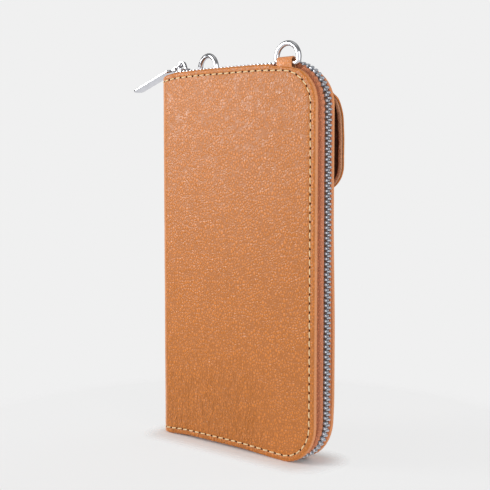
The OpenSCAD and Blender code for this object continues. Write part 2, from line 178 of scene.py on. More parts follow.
class Paint:
    """A node material around one Principled shader, with coordinates in millimetres."""

    def __init__(self, name, roughness, metallic=0.0, specular=0.5):
        self.material = bpy.data.materials.new(name)
        self.material.use_nodes = True
        self.tree = self.material.node_tree
        self.shader = self.tree.nodes["Principled BSDF"]
        start = {"Roughness": roughness, "Metallic": metallic, "Specular IOR Level": specular}
        for key, value in start.items():
            self.shader.inputs[key].default_value = value
        self.place = self.scaled(self.add("ShaderNodeTexCoord", {}).outputs["Object"], (1 / MM,) * 3)
        self.height = None

    def add(self, kind, inputs, **settings):
        return wired(self.tree, kind, inputs, **settings)

    def math(self, operation, a, b=0.0, c=0.0):
        return self.add("ShaderNodeMath", {0: a, 1: b, 2: c}, operation=operation).outputs[0]

    def scaled(self, place, scale, turn=0.0):
        inputs = {"Vector": place, "Scale": scale, "Rotation": (0, turn, 0)}
        return self.add("ShaderNodeMapping", inputs).outputs["Vector"]

    def split(self):
        return self.add("ShaderNodeSeparateXYZ", {"Vector": self.place}).outputs

    def swirl(self, scale, detail):
        """Three noises at once, to push other patterns about."""
        inputs = {"Vector": self.place, "Scale": scale, "Detail": detail}
        return self.add("ShaderNodeTexNoise", inputs).outputs["Color"]

    def pushed(self, place, by, amount):
        inputs = {0: by, 1: (amount,) * 3, 2: place}
        return self.add("ShaderNodeVectorMath", inputs, operation="MULTIPLY_ADD").outputs[0]

    def noise(self, scale, detail=2.0, distortion=0.0, place=None):
        inputs = {
            "Vector": place or self.place, "Scale": scale, "Detail": detail, "Distortion": distortion,
        }
        return self.add("ShaderNodeTexNoise", inputs).outputs["Fac"]

    def cells(self, scale, feature, place):
        inputs = {"Vector": place, "Scale": scale}
        return self.add("ShaderNodeTexVoronoi", inputs, feature=feature).outputs["Distance"]

    def waves(self, scale, direction):
        inputs = {"Vector": self.place, "Scale": scale, "Distortion": 0.6, "Detail": 1.0}
        return self.add("ShaderNodeTexWave", inputs, bands_direction=direction).outputs["Fac"]

    def spread(self, value, low, high, to_low=0.0, to_high=1.0):
        inputs = {
            "Value": value, "From Min": low, "From Max": high, "To Min": to_low, "To Max": to_high,
        }
        return self.add("ShaderNodeMapRange", inputs, interpolation_type="SMOOTHSTEP").outputs["Result"]

    def mix(self, share, a, b):
        inputs = {0: share}
        for key, value in ((6, a), (7, b)):
            inputs[key] = value if isinstance(value, bpy.types.NodeSocket) else (*value, 1)
        return self.add("ShaderNodeMix", inputs, data_type="RGBA").outputs[2]

    def shades(self, value, low, high, colour, dark, pale):
        """Two shades of a colour, spread over a pattern between low and high."""
        return self.mix(self.spread(value, low, high), shade(colour, dark), shade(colour, pale))

    def colour(self, value):
        self.tree.links.new(value, self.shader.inputs["Base Color"])

    def rough(self, value):
        self.tree.links.new(value, self.shader.inputs["Roughness"])

    def bump(self, height, depth):
        """Adds relief of that depth in millimetres on top of the relief so far."""
        inputs = {"Height": height, "Distance": depth * MM, "Strength": 1.0}
        if self.height:
            inputs["Normal"] = self.height
        self.height = self.add("ShaderNodeBump", inputs).outputs["Normal"]
        self.tree.links.new(self.height, self.shader.inputs["Normal"])


def shade(colour, factor):
    return tuple(min(c * factor, 1) for c in colour)


def leather(name, colour, grain=1.0, depth=0.1, roughness=0.45, wrinkled=False):
    """Pebbled hide: rounded cells with creases between them, pores, mottling and worn edges, with painted
    shade in the creases and a painted highlight on the cell tops; wrinkled adds painted shade in the
    wrinkles and a painted highlight along the rim.
    """
    paint = Paint(name, roughness, specular=0.42)
    wide = paint.swirl(0.06, 1.0)
    bent = paint.pushed(paint.pushed(paint.place, wide, 4.0), paint.swirl(0.6, 2.0), 0.6)
    drawn = paint.scaled(bent, (1.0, 1.0, 0.78), 0.5)
    cell = 0.82 / grain
    crease = paint.spread(paint.cells(cell, "DISTANCE_TO_EDGE", drawn), 0.0, 0.34)
    # The cell tops found here get a painted highlight.
    dome_highlight = paint.spread(paint.cells(cell, "F1", drawn), 0.65, 0.1)
    fold = paint.spread(paint.cells(0.42 * cell, "DISTANCE_TO_EDGE", bent), 0.0, 0.14)
    pores = paint.noise(3.2 / grain, 3.0)
    mottle = paint.noise(0.045, 3.0, 0.4)
    cloud = paint.noise(0.3, 3.0)
    tone = paint.shades(mottle, 0.3, 0.7, colour, 0.95, 1.05)
    tone = paint.mix(paint.spread(cloud, 0.35, 0.65, 0.0, 0.4), tone, shade(colour, 1.06))
    # Painted highlight: cell tops painted paler.
    tone = paint.mix(paint.math("MULTIPLY", dome_highlight, 0.4), tone, shade(colour, 1.2))
    # Painted shade: creases painted darker than the cells.
    crease_shade = paint.shades(pores, 0.3, 0.7, colour, 0.58, 0.8)
    tone = paint.mix(crease, crease_shade, tone)
    pointed = paint.add("ShaderNodeNewGeometry", {}).outputs["Pointiness"]
    worn = paint.spread(pointed, 0.51, 0.56, 0.0, 0.5)
    if wrinkled:
        place = paint.split()
        low = paint.spread(place["Z"], 66, 10)
        middle = paint.spread(place["X"], 34, 8)
        front = paint.spread(place["Y"], 0, -6)
        share = paint.math("MULTIPLY", paint.math("MULTIPLY", low, front), middle)
        pulled = paint.scaled(paint.pushed(paint.place, wide, 5.0), (0.95, 0.95, 0.14))
        wrinkle = paint.spread(paint.noise(1.0, 1.0, 0.3, pulled), 0.34, 0.6)
        deep = paint.math("MULTIPLY", paint.math("SUBTRACT", 1.0, wrinkle), share)
        # Painted shade: wrinkle valleys painted darker.
        tone = paint.mix(paint.math("MULTIPLY", deep, 0.4), tone, shade(colour, 0.72))
        paint.bump(paint.math("SUBTRACT", 1.0, deep), 0.4)
        # Painted highlight: a pale band round the cover's rounded edge.
        rim_highlight = paint.spread(paint.math("ABSOLUTE", place["Y"]), 7.75, 7.1, 0.0, 0.6)
        tone = paint.mix(rim_highlight, tone, linear(232, 170, 130))
    paint.colour(paint.mix(worn, tone, shade(colour, 1.35)))
    paint.rough(paint.spread(cloud, 0.3, 0.7, roughness - 0.06, roughness + 0.08))
    paint.bump(fold, 0.2 * depth)
    paint.bump(crease, depth)
    paint.bump(pores, 0.15 * depth)
    return paint.material


def raw_edge(name, colour):
    """Cut edge of leather: layered fibres in mixed browns."""
    paint = Paint(name, 0.8, specular=0.2)
    fibres = paint.noise(2.2, 4.0, 1.0)
    layers = paint.noise(0.5, 3.0, 2.0)
    tone = paint.shades(fibres, 0.35, 0.65, colour, 0.5, 1.25)
    paint.colour(paint.mix(paint.spread(layers, 0.4, 0.7, 0.0, 0.6), tone, shade(colour, 1.1)))
    paint.bump(fibres, 0.25)
    return paint.material


def cloth(name, colour, pitch):
    """Plain weave: two crossing sets of threads, with painted shade in the gaps between them."""
    paint = Paint(name, 0.85, specular=0.2)
    warp = paint.waves(0.5 / pitch, "X")
    weft = paint.waves(0.5 / pitch, "Z")
    weave = paint.math("MAXIMUM", warp, weft)
    slub = paint.noise(0.25, 3.0)
    tone = paint.shades(slub, 0.3, 0.7, colour, 0.86, 1.1)
    # Painted shade: gaps between the threads painted darker.
    paint.colour(paint.mix(paint.spread(weave, 0.1, 0.9), shade(colour, 0.6), tone))
    paint.rough(paint.spread(slub, 0.3, 0.7, 0.8, 0.93))
    paint.bump(weave, 0.3 * pitch)
    return paint.material


def plated(name, colour, roughness, metallic=1.0):
    """Bright nickel: fine scratches, a little haze and darker scuffs."""
    paint = Paint(name, roughness, metallic=metallic)
    haze = paint.noise(0.4, 3.0)
    scratch = paint.noise(5.0, 2.0, 1.5)
    paint.colour(paint.mix(paint.spread(haze, 0.35, 0.75), colour, shade(colour, 0.86)))
    paint.rough(paint.spread(haze, 0.3, 0.7, roughness - 0.04, roughness + 0.08))
    paint.bump(scratch, 0.004)
    return paint.material


def fibrous(name, colour, roughness, specular, noise, dark, pale, depth):
    """Fine strands between a dark and a pale shade. noise is scale, detail and distortion."""
    paint = Paint(name, roughness, specular=specular)
    strands = paint.noise(*noise)
    paint.colour(paint.shades(strands, 0.3, 0.7, colour, dark, pale))
    paint.bump(strands, depth)
    return paint.material


def paper(name, colour):
    return fibrous(name, colour, 0.9, 0.2, (1.2, 4.0), 0.88, 1.0, 0.05)


# Each look is a material and the name of its slot in the record.

hide = leather("caramel_hide", HIDE, grain=1.1, depth=0.11, roughness=0.42, wrinkled=True), "hide"
band_hide = leather("band_hide", BAND, grain=0.85, depth=0.14, roughness=0.55), "band_hide"
slot_hide = leather("slot_hide", SLOT, grain=0.7, depth=0.05, roughness=0.5), "slot_hide"
cut_edge = raw_edge("cut_edge", linear(196, 142, 108)), "lining"
lining = cloth("lining_cloth", LINING, 0.4), "lining"
# Painted shade: the flap lining is painted much darker than the other lining, as the shade in the hollow
# under the flap.
flap_lining_shade = cloth("flap_lining_shaded_cloth", linear(96, 58, 44), 0.4), "lining"
tape_cloth = cloth("zip_tape_cloth", TAPE, 0.35), "tape"
thread = fibrous("thread", THREAD, 0.6, 0.3, (2.6, 2.0, 0.5), 0.8, 1.12, 0.1), "tape"
# Painted shade: dark discs that stand for the shade in the stitch holes.
hole_shade = paper("stitch_hole_shade", linear(64, 32, 16)), "hide"
board = paper("board_paper", BOARD), "board"
chrome = plated("bright_nickel", METAL, 0.1), "metal"
tooth_metal = plated("tooth_nickel", linear(206, 210, 216), 0.3, metallic=0.75), "metal"


# ---- Meshes ----


class Shape:
    """Points in millimetres and the faces between them."""

    def __init__(self):
        self.points = []
        self.faces = []

    def add(self, points, faces):
        first = len(self.points)
        self.points.extend(points)
        self.faces.extend([tuple(first + k for k in face) for face in faces])

    def take(self, part):
        self.add(part.points, part.faces)

    def loft(self, rings, closed=True, caps=True, turns=False):
        """Joins rings of equally many points. closed joins each ring's ends, turns joins last to first."""
        count = len(rings[0])
        spans = count if closed else count - 1
        steps = len(rings) if turns else len(rings) - 1
        faces = []
        for i in range(steps):
            a, b = i * count, (i + 1) % len(rings) * count
            for k in range(spans):
                n = (k + 1) % count
                faces.append((a + k, a + n, b + n, b + k))
        if caps and closed and not turns:
            faces.append(tuple(reversed(range(count))))
            faces.append(tuple((len(rings) - 1) * count + k for k in range(count)))
        self.add([p for ring in rings for p in ring], faces)

    def tube(self, path, radius, sides=10, turns=False, squash=1.0):
        """Round wire along a path. radius is one size, or one for each point."""
        path = [Vector(p) for p in path]
        count = len(path)
        sizes = [radius] * count if isinstance(radius, (int, float)) else radius
        up = None
        rings = []
        for i, point in enumerate(path):
            before = path[i - 1] if i or turns else point
            after = path[(i + 1) % count] if i < count - 1 or turns else point
            along = (after - before).normalized()
            if up is None:
                up = along.orthogonal().normalized()
            up = (up - along * up.dot(along)).normalized()
            side = along.cross(up)
            rings.append([point + (up * c + side * squash * s) * sizes[i] for c, s in circle(sides)])
        self.loft(rings, turns=turns)


def lofted(rings, **how):
    """Shape of one loft."""
    made = Shape()
    made.loft(rings, **how)
    return made


def joined(*shapes):
    made = Shape()
    for part in shapes:
        made.take(part)
    return made


def linked(name, data):
    """New object with that data in the scene."""
    made = bpy.data.objects.new(name, data)
    bpy.context.scene.collection.objects.link(made)
    return made


def add_piece(name, shape, look, body, *replaced, facing=None):
    """Makes a smooth object from a shape, in the place of the CAD nodes named in replaced.

    It rides on a body, or stays unattached where body is a tuple.
    """
    material, slot = look
    mesh = bpy.data.meshes.new(name)
    mesh.from_pydata([Vector(p) * MM for p in shape.points], [], shape.faces)
    work = bmesh.new()
    work.from_mesh(mesh)
    bmesh.ops.remove_doubles(work, verts=work.verts, dist=WELD * MM)
    bmesh.ops.dissolve_degenerate(work, edges=work.edges, dist=0.5 * WELD * MM)
    bmesh.ops.recalc_face_normals(work, faces=work.faces)
    if facing:
        total = sum((f.normal * f.calc_area() for f in work.faces), Vector())
        if total.dot(Vector(facing)) < 0:
            bmesh.ops.reverse_faces(work, faces=work.faces)
    for edge in work.edges:
        edge.smooth = len(edge.link_faces) < 2 or edge.calc_face_angle(0) < SHARP
    for face in work.faces:
        face.smooth = True
    work.to_mesh(mesh)
    work.free()
    mesh.materials.append(material)
    piece = linked(name, mesh)
    if isinstance(body, str):
        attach(piece, body)
    else:
        first, second, start, end = body
        Vector(start) * MM
        Vector(end) * MM
        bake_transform(piece)
    if replaced:
        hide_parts(*replaced)
    return piece


def arc(x, z, radius, start, end, count):
    """Points of an arc, with angles in degrees."""
    turns = [radians(start + (end - start) * k / count) for k in range(count + 1)]
    return [(x + radius * cos(a), z + radius * sin(a)) for a in turns]


def rounded(points, rounds=3):
    """Cuts the corners of an open line of points again and again, keeping its ends."""
    for _ in range(rounds):
        out = [Vector(points[0])]
        for a, b in zip(points, points[1:]):
            a, b = Vector(a), Vector(b)
            out += [a.lerp(b, 0.25), a.lerp(b, 0.75)]
        points = out + [Vector(points[-1])]
    return points


class Line:
    """A line of points that can be asked for the place and direction at a length."""

    def __init__(self, points):
        self.points = [Vector(p) for p in points]
        self.lengths = [0.0]
        for a, b in zip(self.points, self.points[1:]):
            self.lengths.append(self.lengths[-1] + (b - a).length)
        self.length = self.lengths[-1]

    def at(self, length):
        length = min(max(length, 0), self.length)
        k = 0
        while k < len(self.lengths) - 2 and self.lengths[k + 1] < length:
            k += 1
        a, b = self.points[k], self.points[k + 1]
        along = b - a
        share = (length - self.lengths[k]) / max(along.length, 1e-9)
        return a.lerp(b, share), along.normalized()


def shell(rect, radii, profile, place, step, depth, open_left=False):
    """Sheet with rounded corners and rounded edges.

    rect is left, right, low and high; radii are for the top left, top right, low right and low left
    corners. profile lists inset and height from one side round the edge to the other, and a side
    that reaches the inset depth is filled. place(x, z, height, inset) gives the point.
    """
    left, right, low, high = rect
    across = max(2, round((right - left - (1 if open_left else 2) * depth) / step))
    down = max(2, round((high - low - 2 * depth) / step))
    turn = 10

    def side(a, b, count):
        return [
            (a[0] + (b[0] - a[0]) * k / count, a[1] + (b[1] - a[1]) * k / count)
            for k in range(count)
        ]

    def ring(inset):
        r = [max(radius - inset, 0) for radius in radii]
        x0 = left if open_left else left + inset
        x1, z0, z1 = right - inset, low + inset, high - inset
        starts = 0 if open_left else r[0], 0 if open_left else r[3]
        out = side((x0 + starts[0], z1), (x1 - r[1], z1), across)
        out += arc(x1 - r[1], z1 - r[1], r[1], 90, 0, turn)[:-1]
        out += side((x1, z1 - r[1]), (x1, z0 + r[2]), down)
        out += arc(x1 - r[2], z0 + r[2], r[2], 0, -90, turn)[:-1]
        out += side((x1 - r[2], z0), (x0 + starts[1], z0), across)
        if open_left:
            return out + [(x0, z0)]
        out += arc(x0 + r[3], z0 + r[3], r[3], 270, 180, turn)[:-1]
        out += side((x0, z0 + r[3]), (x0, z1 - r[0]), down)
        return out + arc(x0 + r[0], z1 - r[0], r[0], 180, 90, turn)[:-1]

    rings = [[place(x, z, height, inset) for x, z in ring(inset)] for inset, height in profile]
    made = lofted(rings, closed=not open_left, caps=False)
    x0, x1 = (left if open_left else left + depth), right - depth
    z0, z1 = low + depth, high - depth
    for inset, height in (profile[0], profile[-1]):
        if inset < depth:
            continue
        columns = [x0 + (x1 - x0) * i / across for i in range(across + 1)]
        levels = [z1 + (z0 - z1) * j / down for j in range(down + 1)]
        rows = [[place(x, z, height, depth) for x in columns] for z in levels]
        made.loft(rows, closed=False)
    return made


def edge_profile(thickness, depth, soft=0.5, steps=4, rows=1):
    """Profile of a sheet from its under side at height 0 round a rounded edge to its upper side."""
    r = min(soft, thickness / 2)
    turns = [radians(90 - 90 * k / steps) for k in range(steps + 1)]
    under = [(r - r * cos(a), r - r * sin(a)) for a in turns]
    insets = [depth - (depth - r) * k / rows for k in range(rows)]
    half = [(inset, 0.0) for inset in insets] + under
    return half + [(inset, thickness - height) for inset, height in reversed(half)]


def edge_line(left, right, low, high, radius, step=1.0):
    """Stations round the three open sides, from the top left to the low left.

    Each station is x, z and the outward direction.
    """
    x, top, under = right - radius, high - radius, low + radius
    run = max(2, round((x - left) / step))
    rise = max(2, round((top - under) / step))
    turn = max(8, round(radius * pi / 2 / step))

    def corner(z, start):
        turns = [start - pi / 2 * k / turn for k in range(turn)]
        return [(x + radius * cos(a), z + radius * sin(a), cos(a), sin(a)) for a in turns]

    out = [(left + (x - left) * k / run, high, 0.0, 1.0) for k in range(run)] + corner(top, pi / 2)
    out += [(right, top - (top - under) * k / rise, 1.0, 0.0) for k in range(rise)] + corner(under, 0.0)
    return out + [(x - (x - left) * k / run, low, 0.0, -1.0) for k in range(run + 1)]


def stitches(line, lift, pitch=STITCH_PITCH, radius=THREAD_R):
    """Thread, and dark discs that paint the shade in the holes between stitches.

    line is a Line in the sheet, and lift(point, height) puts a point of the sheet in space.
    """
    sewn, pierced = Shape(), Shape()
    count = floor(line.length / pitch)
    pitch = line.length / count
    for k in range(count):
        middle = (k + 0.5) * pitch
        half = STITCH_SHARE * pitch / 2
        path = []
        for t in (-1.0, -0.86, -0.6, 0.0, 0.6, 0.86, 1.0):
            point, along = line.at(middle + t * half)
            across = Vector((-along[1], along[0]))
            point = Vector(point[:2]) + across * 0.12 * t
            path.append(lift(point, 0.34 * radius - 1.35 * radius * abs(t) ** 6))
        sewn.tube(path, [radius * s for s in (0.6, 0.9, 1, 1.04, 1, 0.9, 0.6)], sides=8)
        place, _ = line.at(k * pitch)
        # A dark disc at each hole: painted shade.
        disc = [lift(Vector(place[:2]) + HOLE_R * Vector(way), 0.03) for way in circle(8)]
        pierced.add(disc, [tuple(range(8))])
    return sewn, pierced


def sew(name, rows, body, hole_name=None, **how):
    """Adds the thread of rows of stitches, each row a list of points and its lift, and dark discs that
    paint the shade in their holes.
    """
    sewn, pierced = Shape(), Shape()
    for points, lift in rows:
        thread_run, hole_run = stitches(Line(points), lift, **how)
        sewn.take(thread_run)
        pierced.take(hole_run)
    add_piece(name, sewn, thread, body)
    if hole_name:
        add_piece(hole_name, pierced, hole_shade, body)


# ---- Covers: one hide on each side, from the spine to the zip ----


def wrap(s, z, height, side):
    """Point of a cover: s from the fold towards the zip, or round the spine where it is negative."""
    if s >= 0:
        return Vector((FOLD + s, side * height, z))
    turn = -s / HALF
    return Vector((FOLD - height * sin(turn), side * height * cos(turn), z))


ring_boxes = {-1: box_mm("front_ring"), 1: box_mm("back_ring")}


def at_ring(side, x, z, depth=2.0):
    """1 in the room that a ring takes in the top edge, and 0 away from it."""
    low, high = ring_boxes[side]
    near = smooth(low.x - RING_ROOM - 0.8, low.x - RING_ROOM, x)
    near *= smooth(high.x + RING_ROOM + 0.8, high.x + RING_ROOM, x)
    return near * smooth(HEIGHT - depth - 1.5, HEIGHT - depth, z)


HIDE_EDGE = [
    (RIM, INNER), (1.2, INNER), (0.45, INNER + 0.06), (0.12, INNER + 0.25), (0.0, INNER + 0.6),
    (0.0, HALF - 1.15), (0.12, HALF - 0.72), (0.42, HALF - 0.32), (0.85, HALF - 0.08),
    (1.4, HALF + 0.01), (2.1, HALF - 0.01), (2.6, HALF - 0.14), (STITCH_INSET, HALF - 0.27),
    (3.6, HALF - 0.14), (4.2, HALF), (5.2, HALF + 0.05), (6.5, HALF + 0.04), (8.5, HALF), (11.0, HALF),
    (15.0, HALF), (EDGE_FADE, HALF),
]


def hide_relief(s, z, inset, side):
    """Small rises and dents of the leather over its board, none at the edge."""
    calm = smooth(0.5, 7.0, inset)
    rise = 0.10 * ripple(s / 26, z / 34, 3.0 * side) + 0.035 * ripple(s / 7, z / 9, 7.0 * side)
    wrinkles = smooth(10, 0, abs(s - 26) - 18) * smooth(42, 4, z)
    rise += 0.05 * wrinkles * ripple(s / 1.6, z / 16, 11.0 * side)
    over_edge = 0.12 * ripple(s / 9, z / 9, 17.0 + side) * smooth(1.4, 0.2, abs(inset - 1.6))
    return calm * rise + over_edge


def sag(x, z):
    """How far the top and bottom edges of the covers bow away from straight lines."""
    top = 0.45 * smooth(-44, -22, x) * smooth(36, 12, x) - 1.6 * smooth(-38, -54, x)
    top -= 0.8 * smooth(18, 46, x)
    under = 1.3 * smooth(-52, -30, x) * smooth(40, 0, x)
    return top * smooth(HEIGHT - 26, HEIGHT - 1, z) + under * smooth(22, 0, z)


def hide_place(side):
    dip = RING_DIP[side]

    def place(s, z, height, inset):
        x = FOLD + s
        near = at_ring(side, x, z, 1.2)
        if height > HALF - 0.9:
            height += hide_relief(s, z, inset, side)
        elif side < 0:
            height += near * max(HALF - 0.75 - height, 0)
        z += sag(x, z) - dip * near * smooth(6.5, 1.2, inset)
        if side > 0:
            s += 1.5 * smooth(85, 107, s) * smooth(6, 34, z) * smooth(125, 60, z)
        return wrap(s, z, height, side)

    return place


def bend(side, far, reach=3.0):
    """Tuple of the spine, the far body and two points across a fold; add_piece leaves such a piece
    unattached.
    """
    near, outer = (FOLD - 4, side * HALF, 0), (FOLD + reach, side * HALF, 0)
    return ("spine", far, near, outer)


for side, name, body in SIDES:
    covers, linings = [name + "_cover"], [name + "_lining"]
    if side > 0:
        covers.append("spine_cover")
        linings.append("spine_lining")
    piece = add_piece(
        name + "_hide",
        shell(
            (APEX, RIGHT - FOLD, 0, HEIGHT), (0, CORNER, CORNER, 0), HIDE_EDGE, hide_place(side),
            step=1.0, depth=EDGE_FADE, open_left=True,
        ),
        hide, bend(side, body), *covers, facing=(0, side, 0),
    )

    stations = edge_line(
        APEX + 0.4, RIGHT - FOLD - STITCH_INSET, STITCH_INSET, HEIGHT - STITCH_INSET,
        CORNER - STITCH_INSET,
    )
    put = hide_place(side)

    def on_hide(p, height):
        return put(p[0], p[1], HALF - 0.18 + height, STITCH_INSET)

    row = [(x, z) for x, z, _, _ in stations]
    sew(name + "_stitches", [(row, on_hide)], bend(side, body), name + "_stitch_hole_shade")

    piece = add_piece(
        name + "_lining_cloth",
        shell(
            (APEX, RIGHT - FOLD - LINING_INSET, LINING_INSET, HEIGHT - LINING_INSET),
            (0, CORNER - LINING_INSET, CORNER - LINING_INSET, 0),
            [(0.0, 0.0), (0.0, 0.2), (0.06, 0.34), (0.2, 0.4), (EDGE_FADE - LINING_INSET, 0.4)],
            lambda s, z, height, inset: wrap(s, z, INNER + 0.05 + height, side), step=2.5,
            depth=EDGE_FADE - LINING_INSET, open_left=True,
        ),
        lining, bend(side, body, reach=0.2), *linings, facing=(0, -side, 0),
    )
    wide, high = RIGHT - FOLD - APEX - LINING_INSET, HEIGHT - 2 * LINING_INSET


# ---- Zip: bands, tapes, teeth and stops ----


def zip_line(left, step):
    return edge_line(left, RIGHT, ZIP_LOW, ZIP_TOP, CORNER, step)


BAND_PROFILE = [
    (-2.3, INNER), (-1.3, INNER - 0.15), (-0.8, INNER - 0.8), (-0.2, INNER - 1.0), (0.4, INNER - 1.15),
    (0.95, INNER - 1.45), (1.3, INNER - 1.9), (1.5, INNER - 2.3), (1.48, INNER - 2.6),
    (1.25, INNER - 2.75), (0.8, INNER - 2.72), (0.1, INNER - 2.62), (-0.5, INNER - 2.3),
    (-1.6, INNER - 1.0),
]
TAPE_PROFILE = [(0.3, 3.0), (0.95, 2.6), (1.0, 1.4), (0.95, 0.62), (0.4, 0.6), (0.3, 1.4)]


def swept(profile, stations, side, relief=None):
    """Sweeps a closed profile of height above the line and depth along stations."""
    rings = []
    length = 0.0
    last = None
    for x, z, out_x, out_z in stations:
        length += hypot(x - last[0], z - last[1]) if last else 0
        last = (x, z)
        ring = []
        for rise, depth in profile:
            extra = relief(length, rise, depth, x, z) if relief else 0
            ring.append(Vector((x + out_x * (rise + extra), side * depth, z + out_z * (rise + extra))))
        rings.append(ring)
    return lofted(rings)


def band_relief(side):
    seed = 5.0 * side
    ring_clear = 3.5 if side < 0 else 3.3

    def relief(length, rise, depth, x, z):
        room = at_ring(side, x, z) * smooth(ring_clear - 0.5, ring_clear, depth)
        lower = room * min(-1.3 - rise, 0)
        if rise < -0.6:
            return lower
        near_top = smooth(40, 18, hypot(x - RIGHT, z - HEIGHT))
        near_low = 0.7 * smooth(30, 14, hypot(x - RIGHT, z))
        fold = sin(length * 2.1 + 2.0 * ripple(length / 3, seed)) * smooth(-0.4, 0.9, rise)
        gather = 0.36 * (near_top + near_low) * fold
        return lower + gather + 0.12 * ripple(length / 4, depth / 2, seed)

    return relief


def tooth(side):
    """One tooth, clamped on the tape with its head past the middle.

    Points are along, depth and rise, and stations are depth and shares of the width and height.
    """
    half = 0.62
    stations = (
        (2.2, 0.72, 0.78), (2.0, 0.95, 0.95), (1.75, 1.0, 1.0), (0.75, 1.0, 1.0), (0.4, 0.74, 0.86),
        (0.1, 0.66, 0.82), (-0.25, 0.82, 0.9), (-0.45, 0.72, 0.8), (-0.55, 0.4, 0.6),
    )
    low, high = 0.15, TOOTH_TOP
    middle, reach = (low + high) / 2, (high - low) / 2
    rings = []
    for depth, wide, tall in stations:
        w, h = half * wide, reach * tall
        left = [(-w, -h), (-w, 0.62 * h), (-0.62 * w, 0.95 * h)]
        ring = left + [(0, h)] + [(-a, b) for a, b in reversed(left)]
        rings.append([(a, side * depth, middle + b) for a, b in ring])
    return lofted(rings)


def zip_teeth(side):
    """A row of teeth. The front row stands half a pitch along, so the rows mesh."""
    line = Line([(x, z) for x, z, _, _ in zip_line(ZIP_START + 2.4, 0.5)])
    count = round(line.length / TOOTH_PITCH)
    pitch = line.length / count
    row = Shape()
    one = tooth(side)
    for k in range(count):
        middle = (k + (0.25 if side < 0 else 0.75)) * pitch
        place, along = line.at(middle)
        out = Vector((-along[1], along[0]))
        points = []
        for a, depth, rise in one.points:
            spot = place + along * a + out * rise
            points.append(Vector((spot[0], depth, spot[1])))
        row.add(points, one.faces)
    return row


for side, name, body in SIDES:
    add_piece(
        name + "_band", swept(BAND_PROFILE, zip_line(ZIP_START, 0.8), side, band_relief(side)),
        band_hide, body, name + "_zip_band",
    )
    add_piece(
        name + "_tape", swept(TAPE_PROFILE, zip_line(ZIP_START, 1.5), side), tape_cloth, body,
        name + "_zip_tape",
    )
    add_piece(name + "_teeth", zip_teeth(side), tooth_metal, body, name + "_zip_teeth")


# ---- Plates and turned pieces ----


def outline_normals(points):
    out = []
    for k in range(len(points)):
        along = (points[(k + 1) % len(points)] - points[k - 1]).normalized()
        out.append(Vector((along[1], -along[0])))
    return out


def box_outline(left, right, low, high):
    return [(left, low), (right, low), (right, high), (left, high)]


def plate(points, low, high, bevel, place, crown=0.0, steps=3):
    """Flat piece of an outline that runs anticlockwise, with rounded edges.

    place(a, b, height) gives the point, and crown is how far the upper side swells.
    """
    points = [Vector(p) for p in points]
    outward = outline_normals(points)
    middle = sum(points, Vector((0, 0))) / len(points)
    rings = []
    for start, end, base, way in ((0, 90, low + bevel, -1), (90, 0, high - bevel, 1)):
        for k in range(steps + 1):
            a = radians(start + (end - start) * k / steps)
            inset = bevel * (1 - sin(a))
            height = base + way * bevel * cos(a)
            rings.append([place(*(p - n * inset), height) for p, n in zip(points, outward)])
    if crown:
        for share in (0.75, 0.5, 0.25, 0.02):
            height = high + crown * (1 - share * share)
            inner = [middle + (p - n * bevel - middle) * share for p, n in zip(points, outward)]
            rings.append([place(*p, height) for p in inner])
    return lofted(rings)


def turned(profile, place, ring=False):
    """Round piece from radius and height pairs, or a ring where the last pair joins the first."""
    return lofted([[place(r * c, r * s, h) for c, s in circle(32)] for r, h in profile], turns=ring)


def flat_place(a, b, height):
    return Vector((a, b, height))


def stop_block(side, low, high):
    outline = [(ZIP_START + 0.5 + 0.55 * c, side * 1.1 + 0.85 * s) for c, s in circle(16)]
    return plate(outline, low, high, 0.2, flat_place)


for side, name, body in SIDES:
    stop_low, stop_high = box_mm(name + "_zip_stops")
    made = joined(
        stop_block(side, stop_low.z, ZIP_LOW - 0.95), stop_block(side, ZIP_TOP + 0.95, stop_high.z),
    )
    add_piece(name + "_stops", made, tooth_metal, body, name + "_zip_stops")


# ---- Slider and pull ----

slider_low, slider_high = box_mm("zip_slider")
PIN = joint_place("link_swing")
KNUCKLE = joint_place("pull_swing")
PLATE_LOW = ZIP_TOP + TOOTH_TOP + 0.15
PLATE_HIGH = PLATE_LOW + 1.0


def boxy(value, power=0.6):
    """Pulls the sine or cosine of a circle towards a rounded square."""
    return abs(value) ** power * (1 if value >= 0 else -1)


def slider_shape():
    half = slider_high.y
    tail, nose = slider_low.x, slider_high.x
    near = [
        (tail, -half + 1.5), (tail + 0.6, -half + 0.7), (tail + 2.4, -half + 0.15),
        (PIN.x + 0.4, -half), (nose - 1.8, -half + 0.25), (nose, -1.6),
    ]
    loop = near[1:] + [(x, -y) for x, y in reversed(near)] + near[:2]
    shield = rounded(loop, 2)[:-1]
    top = plate(shield, PLATE_LOW, PLATE_HIGH - 0.15, 0.35, flat_place, crown=0.2)
    under = plate([(x, y * 0.66) for x, y in shield], ZIP_TOP - 1.6, ZIP_TOP - 0.6, 0.3, flat_place)
    post = plate(
        box_outline(PIN.x - 3.0, PIN.x, -0.2, 0.2), ZIP_TOP - 1.0, PLATE_LOW + 0.3, 0.05, flat_place,
    )
    path = rounded(
        [
            (PIN.x - 2.1, 0, PLATE_HIGH - 0.5), (PIN.x - 1.9, 0, PLATE_HIGH + 1.0),
            (PIN.x - 1.3, 0, slider_high.z - 0.5), (PIN.x + 0.2, 0, slider_high.z - 0.25),
            (PIN.x + 1.7, 0, slider_high.z - 0.6), (PIN.x + 2.6, 0, PLATE_HIGH + 0.9),
            (PIN.x + 3.0, 0, PLATE_HIGH - 0.5),
        ],
        3,
    )
    rings = []
    for k, point in enumerate(path):
        before, after = path[max(k - 1, 0)], path[min(k + 1, len(path) - 1)]
        along = (after - before).normalized()
        up = Vector((-along.z, 0, along.x))
        wide, thick = 0.9, 0.45
        rings.append(
            [point + Vector((0, wide * boxy(c), 0)) + up * thick * boxy(s) for c, s in circle(12)]
        )
    return joined(top, under, post, lofted(rings))


add_piece("slider", slider_shape(), chrome, "slider", "zip_slider")

